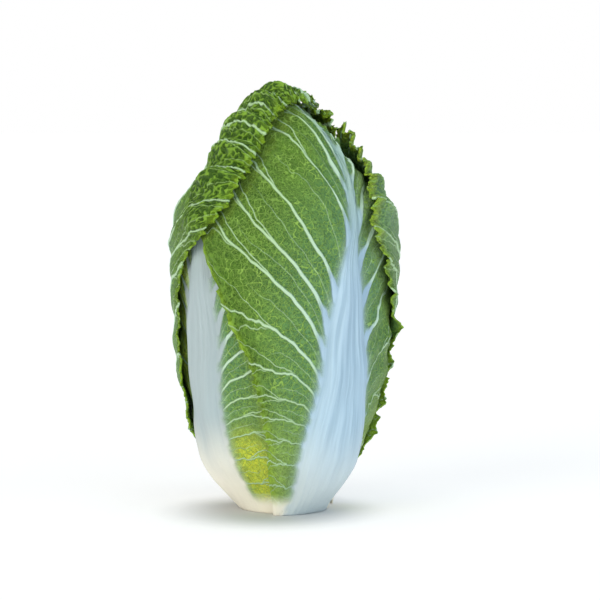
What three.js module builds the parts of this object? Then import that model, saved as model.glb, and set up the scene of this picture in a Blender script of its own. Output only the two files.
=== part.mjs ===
// A whole napa cabbage, standing on its cut stem. Millimetres, +Z up, front towards -Y, and the origin
// at the centre of the cut. Every leaf is a solid of its own, laid over the ones inside it.
import * as THREE from "three";

// A place on the head is a turn, in degrees from the front to the right, and a climb, in mm up its side
// and over the crown. Its reach is its distance from the axis, or in the crown from the crown's centre.
const crownStart = 195;
const crownRadius = 82;
const crownTop = crownStart + (crownRadius * Math.PI) / 2;

// The finished head's usual outside, as climb and reach
const headShape = [
  [0, 30],
  [10, 42],
  [25, 54],
  [45, 64],
  [75, 72],
  [110, 77],
  [150, 80],
  [195, 80],
  [222, 80],
  [250, 84],
  [280, 92],
  [300, 98],
  [crownTop, 100],
];

// The cut stem and the tight inner head on it, in the same way
const heartShape = [
  [0, 20],
  [5, 22.5],
  [12, 27],
  [20, 32],
  [32, 41],
  [50, 50.5],
  [80, 60],
  [115, 65],
  [150, 67],
  [195, 65],
  [222, 59],
  [250, 57],
  [280, 61],
  [300, 73],
  [crownTop, 95],
];
const heartRows = 20;
const heartColumns = 36;
const heartFolds = 4; // leaf edges that spiral round the inner head
const heartFoldDepth = 2.4;
const heartFoldTwist = 1.3;
const stemTop = 14;

// Leaves
const bladeThickness = 1.1;
const fitGap = 0.45; // least gap between one leaf and the next, where they lie flat
const clearance = 0.35; // the same, where a leaf's facets cut across a fold
const ribHalfWidths = [
  [0, 20],
  [14, 23],
  [34, 26.5],
  [80, 21],
  [130, 16],
  [180, 9],
  [230, 4.5],
  [300, 2.5],
];
const ribHeights = [
  [0, 1.5],
  [12, 5.5],
  [35, 8],
  [80, 6.5],
  [130, 5],
  [180, 3.6],
  [230, 2.4],
  [300, 1.4],
];
const ribShare = 0.32; // share of a leaf's columns that lie on the rib
const veinHeight = 2.4;
const veinStart = 26; // climb above which side veins leave the rib
const veinBow = 0.1; // a vein's rise above its chord, as a share of its length
const frillHeight = 4.6;
const puffStart = 165; // climb above which the blade near an edge swells out
const frillReach = 3.2; // how far the edge goes in and out between its teeth
const tipShare = 0.965; // where the last row stops, short of the point

// Margins are rows of [start on the rib, climb, turn], from the base to the tip. Frill and puff say how
// far the left and right edges wave, and how far the blade just inside them swells out in lobes.
// frillLow is the waves' share on the lower half of the head, where most leaves lie tight, and lobes end
// at the climb puffEnd. Lean is how many degrees the rib turns aside along its length.
const outerLeaves = [
  {
    name: "outer_leaf_left",
    turn: -52,
    length: 318,
    left: [[0, 0, -122], [20, 24, -116], [50, 62, -106], [80, 104, -101], [110, 150, -104],
      [140, 188, -112], [175, 222, -122], [215, 255, -134], [255, 284, -142], [290, 306, -130]],
    right: [[0, 0, -2], [20, 24, -2], [50, 62, -2], [80, 100, 3], [110, 145, 6],
      [140, 185, 10], [175, 218, 18], [215, 250, 26], [255, 280, 34], [290, 304, 20]],
    lean: [[0, -22], [30, -15], [70, -6], [110, 0], [318, 0]],
  },
  {
    name: "outer_leaf_front",
    turn: 36,
    length: 322,
    left: [[0, 0, -12], [20, 24, -13], [50, 62, -13], [80, 107, -20], [98, 147, -33],
      [110, 186, -44], [122, 222, -53], [144, 254, -60], [178, 277, -64], [215, 291, -67],
      [255, 300, -64], [290, 308, -48]],
    right: [[0, 0, 116], [20, 26, 112], [50, 66, 106], [80, 108, 98], [110, 148, 91],
      [140, 182, 90], [175, 214, 95], [215, 250, 101], [255, 280, 96], [290, 304, 86]],
    lean: [[0, 0], [170, 0], [205, 5], [230, 12], [255, 20], [280, 22], [300, 18], [322, 10]],
    frill: [0.3, 1.1],
  },
  {
    name: "outer_leaf_back",
    turn: 180,
    length: 338,
    left: [[0, 0, 147], [20, 22, 145], [50, 60, 142], [80, 102, 136], [110, 148, 126],
      [140, 188, 118], [175, 222, 112], [215, 255, 105], [255, 284, 95], [300, 308, 82]],
    right: [[0, 0, 221], [20, 22, 221], [50, 60, 222], [80, 102, 224], [110, 148, 232],
      [140, 188, 240], [175, 222, 248], [215, 255, 254], [255, 284, 258], [300, 308, 262]],
    frill: [1.7, 0.8],
    puff: [1.6, 0.6],
  },
  {
    name: "outer_leaf_right",
    turn: 122,
    length: 282,
    left: [[0, 0, 110], [20, 22, 102], [50, 60, 98], [80, 100, 97], [98, 126, 88], [106, 140, 72],
      [118, 158, 61], [136, 182, 56], [156, 202, 47], [180, 228, 52], [205, 250, 64],
      [230, 268, 80], [256, 282, 98]],
    right: [[0, 0, 174], [20, 22, 170], [50, 60, 166], [80, 102, 166], [110, 148, 172],
      [140, 188, 180], [175, 222, 186], [215, 250, 182], [250, 270, 160]],
    lean: [[0, 22], [30, 15], [70, 6], [110, 0], [282, 0]],
    frill: [1.3, 1],
    frillLow: 1,
    puff: [0.7, 0.3],
  },
  {
    name: "outer_leaf_wrapping",
    turn: -112,
    length: 350,
    left: [[0, 0, -172], [20, 24, -166], [50, 62, -160], [80, 102, -159], [110, 150, -166],
      [140, 190, -174], [175, 224, -182], [215, 256, -190], [255, 284, -198], [300, 308, -206]],
    right: [[0, 0, -119], [20, 22, -108], [50, 56, -84], [80, 94, -72], [110, 136, -65],
      [136, 172, -60], [150, 186, -49], [162, 200, -36], [178, 220, -26], [194, 236, -22],
      [214, 254, -18], [236, 274, -12], [260, 291, 0], [284, 301, 25], [312, 302, 58]],
    lean: [[0, -24], [30, -16], [70, -6], [110, 0], [350, 0]],
    frill: [1, 0.9],
    frillLow: 0.2,
    puff: [0.4, 2.1],
    puffEnd: 298,
  },
];

// Inner leaves follow one another by the same turn, each a little shorter than the one outside it.
const innerLeafCount = 5;
const innerLeafStep = 137.5;
const innerLeafFirstTurn = -140;
const innerLeafBase = 16;
const innerLeafLength = 308;
const innerLeafShorter = 7;
const innerMargin = [
  [0, 0, 36],
  [40, 50, 44],
  [90, 120, 58],
  [140, 182, 68],
  [190, 228, 72],
  [240, 268, 70],
  [280, 292, 56],
];
const innerRibScale = 0.62;

// The grid of each leaf: rows up it, and columns on each side of the rib's middle
const outerRows = 31;
const outerBladeColumns = 6;
const outerRibColumns = 2;
const innerRows = 14;
const innerBladeColumns = 3;
const innerRibColumns = 1;

const leafGreen = 0x6f9a4c;
const innerGreen = 0xc3cf7c;
const leafRoughness = 0.55;

// A smooth curve through [x, y] pairs
function curveThrough(pairs) {
  const last = pairs.length - 1;
  const slopeAt = (k) => {
    const before = pairs[Math.max(0, k - 1)];
    const after = pairs[Math.min(last, k + 1)];
    return (after[1] - before[1]) / (after[0] - before[0]);
  };
  const slopes = pairs.map((_, k) => slopeAt(k));
  return (x) => {
    const held = Math.min(Math.max(x, pairs[0][0]), pairs[last][0]);
    let k = 0;
    while (k < last - 1 && held > pairs[k + 1][0]) k += 1;
    const width = pairs[k + 1][0] - pairs[k][0];
    const t = (held - pairs[k][0]) / width;
    const rise = t * t * (3 - 2 * t);
    const ease = width * t * (1 - t);
    return (
      pairs[k][1] * (1 - rise) +
      pairs[k + 1][1] * rise +
      ease * ((1 - t) * slopes[k] - t * slopes[k + 1])
    );
  };
}

const headReach = curveThrough(headShape);
const heartReach = curveThrough(heartShape);
const ribHalfWidth = curveThrough(ribHalfWidths);
const ribHeight = curveThrough(ribHeights);

function smooth(from, to, x) {
  const t = Math.min(Math.max((x - from) / (to - from), 0), 1);
  return t * t * (3 - 2 * t);
}

function pointAt(turn, climb, reach) {
  const lift = Math.max(0, climb - crownStart) / crownRadius;
  const out = reach * Math.cos(lift);
  const z = Math.min(climb, crownStart) + reach * Math.sin(lift);
  const angle = THREE.MathUtils.degToRad(turn);
  return new THREE.Vector3(Math.sin(angle) * out, -Math.cos(angle) * out, z);
}

function placeOf(point) {
  const out = Math.hypot(point.x, point.y);
  const turn = THREE.MathUtils.radToDeg(Math.atan2(point.x, -point.y));
  if (point.z <= crownStart) return { turn, climb: point.z };
  return { turn, climb: crownStart + crownRadius * Math.atan2(point.z - crownStart, out) };
}

// The head's surface as it grows: a table of reaches by turn and climb, raised by each leaf laid on it
const turnCells = 200;
const climbCells = 160;
const cellTurn = 360 / turnCells;
const cellClimb = crownTop / climbCells;
const drapeSteps = 60; // more of them pull the skin tauter

// How many cells round the head come to about one cell up it, at each climb
const cellsAround = Array.from({ length: climbCells }, (_, row) => {
  const climb = (row + 0.5) * cellClimb;
  const lift = Math.max(0, climb - crownStart) / crownRadius;
  const width = THREE.MathUtils.degToRad(cellTurn) * headReach(climb) * Math.cos(lift);
  return Math.min(turnCells / 4, Math.max(1, Math.round(cellClimb / Math.max(width, 0.05))));
});

const cellAt = (row, column) => {
  const held = Math.min(Math.max(row, 0), climbCells - 1);
  return held * turnCells + ((column % turnCells) + turnCells) % turnCells;
};

function cellOf(place) {
  const column = Math.floor((place.turn + 720) / cellTurn);
  return cellAt(Math.floor(place.climb / cellClimb), column);
}

function mapCells(make) {
  const made = new Float64Array(climbCells * turnCells);
  for (let row = 0; row < climbCells; row += 1)
    for (let column = 0; column < turnCells; column += 1)
      made[cellAt(row, column)] = make(row, column);
  return made;
}

// Each cell takes the highest value of its neighbours.
function spread(cells) {
  return mapCells((row, column) => {
    let highest = 0;
    for (let up = -1; up <= 1; up += 1)
      for (let round = -cellsAround[row]; round <= cellsAround[row]; round += 1)
        highest = Math.max(highest, cells[cellAt(row + up, column + round)]);
    return highest;
  });
}

function blurred(cells) {
  const middling = (before, here, after) => (before + 2 * here + after) / 4;
  const round = mapCells((row, column) => {
    const [before, after] = [column - cellsAround[row], column + cellsAround[row]];
    return middling(cells[cellAt(row, before)], cells[cellAt(row, column)], cells[cellAt(row, after)]);
  });
  return mapCells((row, column) =>
    middling(round[cellAt(row - 1, column)], round[cellAt(row, column)], round[cellAt(row + 1, column)]),
  );
}

// A taut skin over the head as it is so far
function drapedOver(surface) {
  const floor = surface.map((reach) => reach + fitGap);
  let skin = floor;
  for (let step = 0; step < drapeSteps; step += 1) {
    const pulled = blurred(skin);
    skin = floor.map((least, cell) => Math.max(least, pulled[cell]));
  }
  return skin;
}

function sampled(cells, place) {
  const across = (place.turn + 720) / cellTurn - 0.5;
  const up = place.climb / cellClimb - 0.5;
  const column = Math.floor(across);
  const row = Math.floor(up);
  const a = across - column;
  const b = up - row;
  const low = cells[cellAt(row, column)] * (1 - a) + cells[cellAt(row, column + 1)] * a;
  const high = cells[cellAt(row + 1, column)] * (1 - a) + cells[cellAt(row + 1, column + 1)] * a;
  return low * (1 - b) + high * b;
}

// A leaf's margin as three curves through its rows' ends
function marginOf(leaf, rows) {
  const tip = [leaf.length, leaf.base + leaf.length, leaf.ribTurn(leaf.length)];
  const ends = [...rows, tip].map(([start, climb, turn]) => [start, pointAt(turn, climb, crownRadius)]);
  const along = (axis) => curveThrough(ends.map(([start, point]) => [start, point[axis]]));
  const [x, y, z] = [along("x"), along("y"), along("z")];
  return (start) => new THREE.Vector3(x(start), y(start), z(start));
}

// The rows of a leaf follow its side veins, from the rib out to the margin.
function rowOf(leaf, start) {
  const base = leaf.base;
  const rib = pointAt(leaf.ribTurn(start), base + start, crownRadius);
  const outward = (point) => point.clone().setZ(Math.max(0, point.z - crownStart));
  const sides = [leaf.leftMargin(start), leaf.rightMargin(start)].map((end) => {
    const angle = outward(rib).angleTo(outward(end));
    const size = Math.max(angle, 0.02) * headReach(Math.min(base + start, crownTop));
    const ribPart = Math.min((ribHalfWidth(base + start) * leaf.ribScale) / size, 0.8);
    return { end, angle, size, ribPart };
  });
  return { start, base, rib, sides };
}

// share is from -1 at the left margin, through 0 at the middle of the rib, to 1 at the right margin.
function spotOn(leaf, row, share) {
  const side = row.sides[share < 0 ? 0 : 1];
  const part = Math.abs(share);
  const onRib = Math.min(part / ribShare, 1);
  const beyond = Math.max(0, (part - ribShare) / (1 - ribShare));
  const across = onRib * side.ribPart + beyond * (1 - side.ribPart);
  const near = Math.sin((1 - across) * side.angle);
  const far = Math.sin(across * side.angle);
  const point = row.rib.clone().lerp(side.end, far / Math.max(near + far, 1e-6));
  const lowRow = smooth(veinStart * 0.5, veinStart * 2, row.start);
  point.z += lowRow * veinBow * side.size * 4 * across * (1 - across);
  const place = placeOf(point);
  if (row.base + row.start < 1e-6) place.climb = 0;
  return { ...place, across, onRib, beyond, size: side.size };
}

// Height of the leaf's outer face over its inner one
function thicknessAt(leaf, spot) {
  const climb = spot.row.base + spot.row.start;
  const rib = ribHeight(climb) * leaf.ribScale * Math.max(0, 1 - spot.onRib ** 3);
  return bladeThickness + rib;
}

function toothOf(leaf, index) {
  return 0.75 + 0.25 * Math.sin(index * 2.3 + leaf.turn);
}

// How far a spot stands off what it lies on, for its side veins, its waved edge and its puffed lobes
function standOff(leaf, spot, exposed) {
  const climb = spot.row.base + spot.row.start;
  const side = spot.share < 0 ? 0 : 1;
  const crest = spot.index % 2;
  const bladePart = smooth(0, 0.25, spot.beyond) * smooth(veinStart, veinStart * 2, climb);
  const vein = crest * veinHeight * bladePart * (1 - 0.6 * spot.beyond);
  const loose = leaf.frillLow + (1 - leaf.frillLow) * smooth(110, 175, climb);
  const wave = loose * leaf.frill[side] * toothOf(leaf, spot.index) * (crest ? 1 : 0.15);
  const grown = smooth(puffStart - 25, puffStart + 25, climb);
  const swell = leaf.puff[side] * grown * smooth(leaf.puffEnd + 25, leaf.puffEnd - 25, climb);
  const puff = swell * (crest ? 1 : 0.35);
  const edge = smooth(0.55, 1, spot.beyond) * (1 - 0.3 * swell);
  const lobe = smooth(0.4, 0.78, spot.beyond) * (1 - 0.65 * smooth(0.86, 1, spot.beyond));
  return smooth(8, 55, climb) * (vein + exposed * frillHeight * (edge * wave + lobe * puff));
}

function sharesOf(ribColumns, bladeColumns) {
  const half = [];
  for (let k = 1; k <= ribColumns; k += 1) half.push((ribShare * k) / ribColumns);
  for (let k = 1; k <= bladeColumns; k += 1) {
    const t = k / bladeColumns;
    half.push(ribShare + (1 - ribShare) * (1 - (1 - t) ** 1.25));
  }
  return [...half.map((share) => -share).reverse(), 0, ...half];
}

// A grid of spots with the leaf's outline, teeth included
function layoutOf(leaf) {
  const spots = [];
  for (let index = 0; index < leaf.rows; index += 1) {
    const start = (tipShare * leaf.length * index) / (leaf.rows - 1);
    const row = rowOf(leaf, start);
    const tooth = smooth(10, 40, start) * frillReach * (index % 2 ? 0 : toothOf(leaf, index));
    const line = leaf.shares.map((share) => {
      const size = row.sides[share < 0 ? 0 : 1].size;
      const drawnIn = smooth(0.75, 1, Math.abs(share)) * Math.min(tooth / size, 0.3);
      return { row, index, share, ...spotOn(leaf, row, share * (1 - drawnIn)) };
    });
    spots.push(line);
  }
  return spots;
}

const corners = (spots, i, j) => [
  [spots[i][j], spots[i][j + 1], spots[i + 1][j + 1]],
  [spots[i][j], spots[i + 1][j + 1], spots[i + 1][j]],
];

// Calls visit with points inside each facet of a leaf, and the spots at the facet's corners.
function probeFacets(spots, face, steps, visit) {
  for (const spot of spots.flat()) spot.at = pointAt(spot.turn, spot.climb, spot[face]);
  for (let i = 0; i + 1 < spots.length; i += 1)
    for (let j = 0; j + 1 < spots[i].length; j += 1)
      for (const facet of corners(spots, i, j)) {
        const [a, b, c] = facet.map((spot) => spot.at);
        for (let m = 0; m <= steps; m += 1)
          for (let n = 0; n <= steps - m; n += 1) {
            const [u, v, w] = [m / steps, n / steps, 1 - (m + n) / steps];
            const x = a.x * u + b.x * v + c.x * w;
            const y = a.y * u + b.y * v + c.y * w;
            const z = a.z * u + b.z * v + c.z * w;
            visit(placeOf({ x, y, z }), Math.hypot(x, y, Math.max(0, z - crownStart)), facet);
          }
      }
}

// The head's surface with one more thing on it: the cells under its outer face, and those round them
function raisedBy(spots, surface) {
  const raised = new Float64Array(surface.length);
  probeFacets(spots, "outer", 8, (place, reach) => {
    const cell = cellOf(place);
    raised[cell] = Math.max(raised[cell], reach);
  });
  const wider = spread(raised);
  return surface.map((reach, cell) => Math.max(reach, wider[cell]));
}

const liftRounds = 4;

// Lays one leaf on the head: its inner face, and the outer one a leaf's thickness beyond
function layLeaf(leaf, surface, order) {
  const skin = drapedOver(surface);
  const hidden = mapCells((row, column) => (topLeaf[cellAt(row, column)] > order ? 1 : 0));
  const cover = blurred(blurred(blurred(hidden)));
  const spots = leaf.spots.flat();
  for (const spot of spots) {
    const exposed = smooth(0.45, 0.05, sampled(cover, spot));
    spot.inner = sampled(skin, spot) + standOff(leaf, spot, exposed);
  }
  for (let round = 0; round < liftRounds; round += 1) {
    for (const spot of spots) spot.lift = 0;
    probeFacets(leaf.spots, "inner", 6, (place, reach, facet) => {
      const short = surface[cellOf(place)] + clearance - reach;
      for (const spot of facet) spot.lift = Math.max(spot.lift, short);
    });
    for (const spot of spots) spot.inner += spot.lift;
  }
  for (const spot of spots) spot.outer = spot.inner + thicknessAt(leaf, spot);
}

function solidFrom(points, faces) {
  const geometry = new THREE.BufferGeometry();
  const numbers = points.flatMap((point) => point.toArray());
  geometry.setAttribute("position", new THREE.Float32BufferAttribute(numbers, 3));
  geometry.setIndex(faces.flat());
  geometry.computeVertexNormals();
  return geometry;
}

// Both faces of a leaf, split into triangles alike, and the strip round its edge
function leafGeometry(leaf) {
  const { spots } = leaf;
  const height = spots.length;
  const width = spots[0].length;
  const points = ["outer", "inner"].flatMap((face) =>
    spots.flat().map((spot) => pointAt(spot.turn, spot.climb, spot[face])),
  );
  const outer = (i, j) => i * width + j;
  const inner = (i, j) => height * width + i * width + j;
  const faces = [];
  for (let i = 0; i + 1 < height; i += 1)
    for (let j = 0; j + 1 < width; j += 1) {
      faces.push([outer(i, j), outer(i, j + 1), outer(i + 1, j + 1)]);
      faces.push([outer(i, j), outer(i + 1, j + 1), outer(i + 1, j)]);
      faces.push([inner(i, j), inner(i + 1, j + 1), inner(i, j + 1)]);
      faces.push([inner(i, j), inner(i + 1, j), inner(i + 1, j + 1)]);
    }
  const rim = [];
  for (let j = 0; j < width; j += 1) rim.push([0, j]);
  for (let i = 1; i < height; i += 1) rim.push([i, width - 1]);
  for (let j = width - 2; j >= 0; j -= 1) rim.push([height - 1, j]);
  for (let i = height - 2; i >= 1; i -= 1) rim.push([i, 0]);
  rim.forEach((here, k) => {
    const next = rim[(k + 1) % rim.length];
    faces.push([outer(...here), inner(...here), inner(...next)]);
    faces.push([outer(...here), inner(...next), outer(...next)]);
  });
  return solidFrom(points, faces);
}

// The heart's reach, with leaf edges that spiral round it, each lapping over the next
function heartSurface(turn, climb) {
  const round = (turn / 360) * heartFolds + (climb / crownTop) * heartFoldTwist;
  const fold = round - Math.floor(round);
  const lap = fold < 0.86 ? fold / 0.86 : (1 - fold) / 0.14;
  const fade = smooth(stemTop, 60, climb) * smooth(crownTop, 300, climb);
  return heartReach(climb) + heartFoldDepth * (lap - 1) * fade;
}

const heartSpots = Array.from({ length: heartRows }, (_, i) =>
  Array.from({ length: heartColumns + 1 }, (__, j) => {
    const climb = (crownTop - 2) * (i / (heartRows - 1)) ** 1.15;
    const turn = (360 * j) / heartColumns;
    return { turn, climb, outer: heartSurface(turn, climb) };
  }),
);

function heartGeometry() {
  const points = [new THREE.Vector3(0, 0, 0)];
  for (const line of heartSpots)
    for (const spot of line.slice(0, -1)) points.push(pointAt(spot.turn, spot.climb, spot.outer));
  points.push(pointAt(0, crownTop, heartReach(crownTop)));
  const at = (i, j) => 1 + i * heartColumns + (j % heartColumns);
  const top = points.length - 1;
  const faces = [];
  for (let j = 0; j < heartColumns; j += 1) {
    faces.push([0, at(0, j + 1), at(0, j)]);
    faces.push([top, at(heartRows - 1, j), at(heartRows - 1, j + 1)]);
    for (let i = 0; i + 1 < heartRows; i += 1) {
      faces.push([at(i, j), at(i, j + 1), at(i + 1, j + 1)]);
      faces.push([at(i, j), at(i + 1, j + 1), at(i + 1, j)]);
    }
  }
  return solidFrom(points, faces);
}

function innerLeaf(number) {
  const turn = innerLeafFirstTurn + innerLeafStep * number;
  const length = innerLeafLength - innerLeafShorter * number;
  const scale = length / innerLeafLength;
  const rows = (side) =>
    innerMargin.map(([start, climb, swing]) => [
      start * scale,
      innerLeafBase + climb * scale,
      turn + side * swing,
    ]);
  return {
    name: `inner_leaf_${number + 1}`,
    turn,
    base: innerLeafBase,
    length,
    left: rows(-1),
    right: rows(1),
    ribScale: innerRibScale,
    rows: innerRows,
    shares: sharesOf(innerRibColumns, innerBladeColumns),
    colour: innerGreen,
  };
}

function prepared(leaf) {
  const full = {
    base: 0,
    lean: [[0, 0], [leaf.length, 0]],
    puffEnd: 400,
    frillLow: 0.4,
    ribScale: 1,
    frill: [0.8, 0.8],
    puff: [0, 0],
    rows: outerRows,
    shares: sharesOf(outerRibColumns, outerBladeColumns),
    colour: leafGreen,
    ...leaf,
  };
  const lean = curveThrough(full.lean);
  full.ribTurn = (start) => full.turn + lean(start);
  full.leftMargin = marginOf(full, full.left);
  full.rightMargin = marginOf(full, full.right);
  full.spots = layoutOf(full);
  return full;
}

// From the innermost leaf to the outermost
const innerLeaves = Array.from({ length: innerLeafCount }, (_, number) => innerLeaf(number)).reverse();
const leaves = [...innerLeaves, ...outerLeaves].map(prepared);

// Which leaf is the outermost in each cell
const topLeaf = new Float64Array(climbCells * turnCells).fill(-1);
leaves.forEach((leaf, order) => {
  for (const spot of leaf.spots.flat()) spot.plain = crownRadius;
  probeFacets(leaf.spots, "plain", 8, (place) => {
    topLeaf[cellOf(place)] = order;
  });
});

let surface = raisedBy(
  heartSpots,
  mapCells((row, column) => heartSurface((column + 0.5) * cellTurn, (row + 0.5) * cellClimb)),
);
leaves.forEach((leaf, order) => {
  layLeaf(leaf, surface, order);
  surface = raisedBy(leaf.spots, surface);
});

const cabbage = new THREE.Group();

function addPart(name, geometry, color) {
  const material = new THREE.MeshStandardMaterial({ color, roughness: leafRoughness, metalness: 0 });
  const mesh = new THREE.Mesh(geometry, material);
  mesh.name = name;
  cabbage.add(mesh);
}

addPart("heart", heartGeometry(), innerGreen);
for (const leaf of leaves) addPart(leaf.name, leafGeometry(leaf), leaf.colour);

export default cabbage;
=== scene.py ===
import math
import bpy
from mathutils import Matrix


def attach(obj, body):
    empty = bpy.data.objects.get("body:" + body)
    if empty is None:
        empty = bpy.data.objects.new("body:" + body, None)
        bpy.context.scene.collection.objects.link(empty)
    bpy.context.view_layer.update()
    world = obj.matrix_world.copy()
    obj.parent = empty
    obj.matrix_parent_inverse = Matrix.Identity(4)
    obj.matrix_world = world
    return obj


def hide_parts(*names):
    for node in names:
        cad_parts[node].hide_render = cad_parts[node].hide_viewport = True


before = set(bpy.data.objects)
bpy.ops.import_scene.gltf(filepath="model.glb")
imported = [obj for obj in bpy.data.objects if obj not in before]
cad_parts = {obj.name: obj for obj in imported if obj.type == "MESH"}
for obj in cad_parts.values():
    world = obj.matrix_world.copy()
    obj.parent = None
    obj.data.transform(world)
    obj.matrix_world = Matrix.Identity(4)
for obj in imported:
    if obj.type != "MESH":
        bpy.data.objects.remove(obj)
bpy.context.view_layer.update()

from types import SimpleNamespace

import bpy
import numpy as np

print("cabbage: frame loaded")

mm = 0.001


def selectNothing():
    bpy.ops.object.select_all(action="DESELECT")
    bpy.context.view_layer.objects.active = None


def added(name, operator, **values):
    selectNothing()
    operator(**values)
    bpy.context.object.name = name
    return bpy.context.object


def apply(piece):
    selectNothing()
    piece.select_set(True)
    bpy.context.view_layer.objects.active = piece
    bpy.ops.object.transform_apply(location=True, rotation=True, scale=True)


# what every material is made with
def feed(socket, value):
    if isinstance(value, bpy.types.NodeSocket):
        tree.links.new(value, socket)
    elif isinstance(value, tuple) and len(value) == 3 and socket.type == "RGBA":
        socket.default_value = (*value, 1)
    else:
        socket.default_value = value


def addNode(kind, sockets={}, **values):
    node = tree.nodes.new(kind)
    for name, value in values.items():
        setattr(node, name, value)
    for name, value in sockets.items():
        feed(node.inputs[name], value)
    return node


def sums(operation, first, second=0.0, clamp=False):
    node = addNode("ShaderNodeMath", operation=operation, use_clamp=clamp)
    for socket, value in zip(node.inputs, (first, second)):
        feed(socket, value)
    return node.outputs[0]


def times(first, second):
    return sums("MULTIPLY", first, second)


def plus(first, second):
    return sums("ADD", first, second)


def less(first, second):
    return sums("SUBTRACT", first, second)


def larger(first, second):
    return sums("MAXIMUM", first, second)


def mixed(share, first, second):
    sockets = {"Factor": share, "A": first, "B": second}
    return addNode("ShaderNodeMix", sockets, data_type="RGBA").outputs["Result"]


def ranged(value, low, high, toLow=0.0, toHigh=1.0):
    sockets = {"Value": value, "From Min": low, "From Max": high, "To Min": toLow, "To Max": toHigh}
    return addNode("ShaderNodeMapRange", sockets, interpolation_type="SMOOTHSTEP").outputs["Result"]


def partsOf(vector):
    return addNode("ShaderNodeSeparateXYZ", {"Vector": vector}).outputs


def attributeParts(name):
    source = addNode("ShaderNodeAttribute", attribute_name=name, attribute_type="GEOMETRY")
    return partsOf(source.outputs["Vector"])


def noise(place, scale, detail=2.0, roughness=0.5):
    sockets = {"Vector": place, "Scale": scale, "Detail": detail, "Roughness": roughness}
    return addNode("ShaderNodeTexNoise", sockets).outputs["Fac"]


def bumped(skin, height, strength, distance):
    bump = addNode("ShaderNodeBump", {"Height": height, "Strength": strength, "Distance": distance})
    feed(skin.inputs["Normal"], bump.outputs[0])


def layered(colour, look, layers):
    for share, name in layers:
        colour = mixed(share, colour, look[name])
    return colour


def newMaterial(name):
    global tree  # the nodes of the material that is being made
    material = bpy.data.materials.new(name)
    material.use_nodes = True
    tree = material.node_tree
    return material, tree.nodes["Principled BSDF"], addNode("ShaderNodeTexCoord").outputs["Object"]


# camera, lights and floor
camera = {
    "lookAt": (0.0105, 0.0, 0.1485),
    "distance": 1.7,
    "elevation": 4.5,
    "widthSeen": 0.427,  # metres across the frame at the cabbage
    "sensor": 36.0,
}
rise = math.radians(camera["elevation"])
shot = added(
    "photoCamera", bpy.ops.object.camera_add,
    location=(
        camera["lookAt"][0],
        -camera["distance"] * math.cos(rise),
        camera["lookAt"][2] + camera["distance"] * math.sin(rise),
    ),
    rotation=(math.pi / 2 - rise, 0, 0),
)
shot.data.sensor_width = camera["sensor"]
shot.data.lens = camera["sensor"] * camera["distance"] / camera["widthSeen"]
shot.data.dof.use_dof = False
bpy.context.scene.camera = shot

studio = {
    "lights": [  # name, turn in degrees, power, colour, width in degrees
        ("keyLight", (66, 0, -45), 0.75, (1.0, 0.95, 0.84), 40),
        ("fillLight", (66, 0, 54), 0.78, (0.74, 0.90, 1.0), 60),
        ("frontLight", (62, 0, 4), 0.22, (0.95, 1.0, 0.97), 60),
        ("lowLight", (84, 0, -42), 0.75, (1.0, 0.90, 0.72), 30),
        ("topLight", (0, 0, 0), 0.9, (1.0, 1.0, 0.98), 45),
    ],
    "lightHeight": 2,
    "air": (0.80, 0.90, 1.0),
    "airStrength": 0.37,
    "seen": (1.0, 1.0, 1.0),  # the plain backdrop that the camera sees
    "floorSize": 60,
    "floorColour": (0.66, 0.66, 0.66),
    "floorRoughness": 0.9,
    "floorGlow": 0.48,
    "glowColour": (1, 0.985, 0.97),
    "paintedShadowEdges": (0.025, 0.09),  # metres from the stem; the floor doesn't glow under the head, which paints a shadow there
    "paintedShadowShift": (0.01, 0.02, 0),
}


def softSun(name, turn, power, colour, width):
    lamp = added(name, bpy.ops.object.light_add, type="SUN", location=(0, 0, studio["lightHeight"]),
                 rotation=[math.radians(a) for a in turn])
    lamp.data.energy = power
    lamp.data.color = colour
    lamp.data.angle = math.radians(width)


for light in studio["lights"]:
    softSun(*light)

world = bpy.data.worlds.new("studioWorld")
bpy.context.scene.world = world
world.use_nodes = True
tree = world.node_tree
sky = tree.nodes["Background"]
feed(sky.inputs["Color"], studio["air"])
feed(sky.inputs["Strength"], studio["airStrength"])
backdrop = addNode("ShaderNodeBackground", {"Color": studio["seen"]})
skyOrBackdrop = addNode("ShaderNodeMixShader")
whatIsSeen = (addNode("ShaderNodeLightPath").outputs["Is Camera Ray"], sky.outputs[0], backdrop.outputs[0])
for socket, value in zip(skyOrBackdrop.inputs, whatIsSeen):
    feed(socket, value)
feed(tree.nodes["World Output"].inputs["Surface"], skyOrBackdrop.outputs[0])
bpy.context.scene.view_settings.view_transform = "Standard"

floor = added("studioFloor", bpy.ops.mesh.primitive_plane_add, size=studio["floorSize"], location=(0, 0, 0))
floorPaint, paint, place = newMaterial("floorPaint")
feed(paint.inputs["Base Color"], studio["floorColour"])
feed(paint.inputs["Roughness"], studio["floorRoughness"])
feed(paint.inputs["Emission Color"], studio["glowColour"])
# the glow fades out near the stem: a painted shadow under the head
shifted = addNode("ShaderNodeVectorMath", operation="ADD")
feed(shifted.inputs[0], place)
feed(shifted.inputs[1], studio["paintedShadowShift"])
fromStem = addNode("ShaderNodeVectorMath", {"Vector": shifted.outputs["Vector"]}, operation="LENGTH")
glowAroundPaintedShadow = ranged(fromStem.outputs["Value"], *studio["paintedShadowEdges"], 0.0, studio["floorGlow"])
feed(paint.inputs["Emission Strength"], glowAroundPaintedShadow)
floor.data.materials.append(floorPaint)
print("cabbage: camera, lights and floor")


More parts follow.
